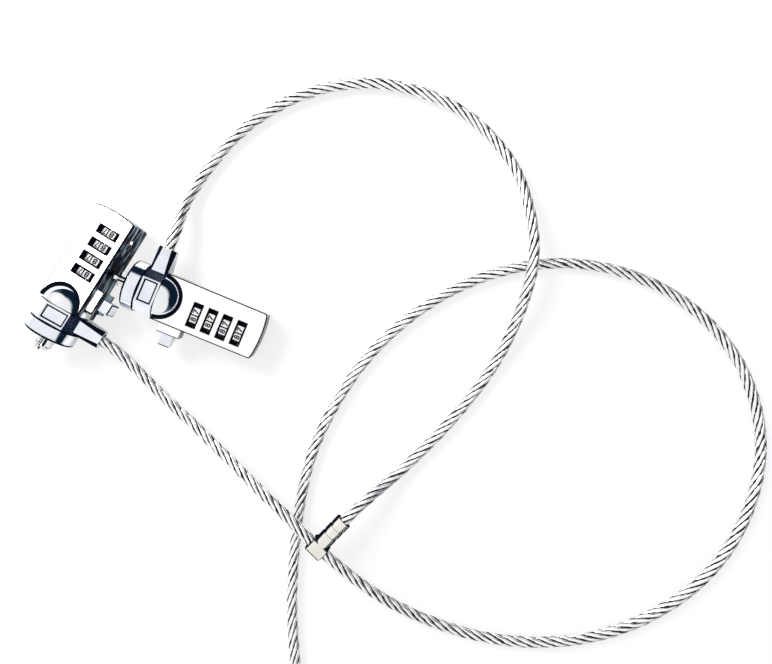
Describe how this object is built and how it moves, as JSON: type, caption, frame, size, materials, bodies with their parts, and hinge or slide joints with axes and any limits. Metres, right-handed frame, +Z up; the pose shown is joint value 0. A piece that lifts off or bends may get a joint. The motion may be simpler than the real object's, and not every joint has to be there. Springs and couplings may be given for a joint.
{
  "type": "laptop cable lock",
  "caption": "Steel anchor cable with combination lock heads on swivel rings; pushing a side button turns each T-bar a quarter turn in its security slot.",
  "frame": {"origin": "on the surface that the lock lies on, under the middle of the box round both heads", "axes": "+Z up from the surface; +X to the picture's right and +Y to its top, so the heads spread most along X and the cable runs off towards +X and -Y"},
  "size_m": [0.3071, 0.3258, 0.0213],
  "materials": {
    "satin_cover": "satin silver",
    "chrome": "polished",
    "satin_chrome": "satin chrome",
    "steel": "plain steel",
    "dial": "plated silver, black figures",
    "dark_plastic": "black",
    "brass": "machined",
    "ferrule": "nickel plated",
    "cable": "twisted strands in a clear jacket"
  },
  "bodies": {
    "cable": {"main_cable": "cable", "cable_coil": "cable", "cable_tail": "cable", "eye_ferrule": "ferrule", "eye_loop": "cable", "head_a_swivel_ring": "satin_chrome", "head_a_cable_stop": "ferrule"},
    "branch": {"branch_cable": "cable", "t_clamp": "ferrule", "head_b_swivel_ring": "satin_chrome", "head_b_cable_stop": "ferrule"},
    "head_a": {"head_a_front_cover": "satin_cover", "head_a_back_cover": "satin_cover", "head_a_ball_housing": "chrome", "head_a_nose_disc": "satin_chrome", "head_a_slot_tongues": "steel", "head_a_dial_axle": "steel", "head_a_axle_spring": "steel", "head_a_detent_leaf": "steel", "head_a_cover_rivets": "steel", "head_a_button_spring": "steel"},
    "head_a_button": {"head_a_push_button": "satin_chrome"},
    "head_a_bar": {"head_a_t_bar": "steel"},
    "head_a_slider": {"head_a_reset_slider": "dark_plastic"},
    "head_a_dial_1": {"head_a_dial_1": "dial", "head_a_code_ring_1": "brass"},
    "head_a_dial_2": {"head_a_dial_2": "dial", "head_a_code_ring_2": "brass"},
    "head_a_dial_3": {"head_a_dial_3": "dial", "head_a_code_ring_3": "brass"},
    "head_a_dial_4": {"head_a_dial_4": "dial", "head_a_code_ring_4": "brass"},
    "head_b": {"head_b_front_cover": "satin_cover", "head_b_back_cover": "satin_cover", "head_b_ball_housing": "chrome", "head_b_nose_disc": "satin_chrome", "head_b_slot_tongues": "steel", "head_b_dial_axle": "steel", "head_b_axle_spring": "steel", "head_b_detent_leaf": "steel", "head_b_cover_rivets": "steel", "head_b_button_spring": "steel"},
    "head_b_button": {"head_b_push_button": "satin_chrome"},
    "head_b_bar": {"head_b_t_bar": "steel"},
    "head_b_slider": {"head_b_reset_slider": "dark_plastic"},
    "head_b_dial_1": {"head_b_dial_1": "dial", "head_b_code_ring_1": "brass"},
    "head_b_dial_2": {"head_b_dial_2": "dial", "head_b_code_ring_2": "brass"},
    "head_b_dial_3": {"head_b_dial_3": "dial", "head_b_code_ring_3": "brass"},
    "head_b_dial_4": {"head_b_dial_4": "dial", "head_b_code_ring_4": "brass"}
  },
  "joints": [
    {"name": "collar_turn", "type": "hinge", "parent": "cable", "child": "branch", "pos_m": [0.06953, -0.10835, 0.01255], "axis": [0.7127, -0.7015, 0], "range_deg": [0, 90]},
    {"name": "head_a_swivel", "type": "hinge", "parent": "cable", "child": "head_a", "pos_m": [-0.03371, -0.01051, 0.01], "axis": [-0.5113, -0.8577, 0.0539], "continuous": true},
    {"name": "head_a_button_push", "type": "slide", "parent": "head_a", "child": "head_a_button", "axis": [-0.8517, 0.4974, -0.1648], "range_m": [0, 0.00251], "stiffness_N_per_m": 300, "springref_m": -0.002, "deforming": ["head_a_button_spring"]},
    {"name": "head_a_bar_turn", "type": "hinge", "parent": "head_a", "child": "head_a_bar", "pos_m": [-0.03371, -0.01051, 0.01], "axis": [-0.5113, -0.8577, 0.0539], "range_deg": [0, 90]},
    {"name": "head_a_reset_slide", "type": "slide", "parent": "head_a", "child": "head_a_slider", "axis": [0.5113, 0.8577, -0.0539], "range_m": [0, 0.002]},
    {"name": "head_a_dial_1_turn", "type": "hinge", "parent": "head_a", "child": "head_a_dial_1", "pos_m": [-0.02398, 0.00235, 0.01004], "axis": [-0.5113, -0.8577, 0.0539], "continuous": true},
    {"name": "head_a_dial_2_turn", "type": "hinge", "parent": "head_a", "child": "head_a_dial_2", "pos_m": [-0.02077, 0.00772, 0.0097], "axis": [-0.5113, -0.8577, 0.0539], "continuous": true},
    {"name": "head_a_dial_3_turn", "type": "hinge", "parent": "head_a", "child": "head_a_dial_3", "pos_m": [-0.01757, 0.0131, 0.00937], "axis": [-0.5113, -0.8577, 0.0539], "continuous": true},
    {"name": "head_a_dial_4_turn", "type": "hinge", "parent": "head_a", "child": "head_a_dial_4", "pos_m": [-0.01436, 0.01848, 0.00903], "axis": [-0.5113, -0.8577, 0.0539], "continuous": true},
    {"name": "head_b_swivel", "type": "hinge", "parent": "branch", "child": "head_b", "pos_m": [0.00561, -0.00601, 0.01], "axis": [-0.9182, 0.386, 0.0896], "continuous": true},
    {"name": "head_b_button_push", "type": "slide", "parent": "head_b", "child": "head_b_button", "axis": [0.3875, 0.9219, 0], "range_m": [0, 0.00251], "stiffness_N_per_m": 300, "springref_m": -0.002, "deforming": ["head_b_button_spring"]},
    {"name": "head_b_bar_turn", "type": "hinge", "parent": "head_b", "child": "head_b_bar", "pos_m": [0.00561, -0.00601, 0.01], "axis": [-0.9182, 0.386, 0.0896], "range_deg": [0, 90]},
    {"name": "head_b_reset_slide", "type": "slide", "parent": "head_b", "child": "head_b_slider", "axis": [0.9182, -0.386, -0.0896], "range_m": [0, 0.002]},
    {"name": "head_b_dial_1_turn", "type": "hinge", "parent": "head_b", "child": "head_b_dial_1", "pos_m": [0.01961, -0.01396, 0.00916], "axis": [-0.9182, 0.386, 0.0896], "continuous": true},
    {"name": "head_b_dial_2_turn", "type": "hinge", "parent": "head_b", "child": "head_b_dial_2", "pos_m": [0.02537, -0.01638, 0.0086], "axis": [-0.9182, 0.386, 0.0896], "continuous": true},
    {"name": "head_b_dial_3_turn", "type": "hinge", "parent": "head_b", "child": "head_b_dial_3", "pos_m": [0.03113, -0.0188, 0.00804], "axis": [-0.9182, 0.386, 0.0896], "continuous": true},
    {"name": "head_b_dial_4_turn", "type": "hinge", "parent": "head_b", "child": "head_b_dial_4", "pos_m": [0.03688, -0.02122, 0.00748], "axis": [-0.9182, 0.386, 0.0896], "continuous": true}
  ],
  "couplings": [
    {"joint": "head_a_bar_turn", "follows": "head_a_button_push", "rad_per_m": 625},
    {"joint": "head_b_bar_turn", "follows": "head_b_button_push", "rad_per_m": 625}
  ]
}
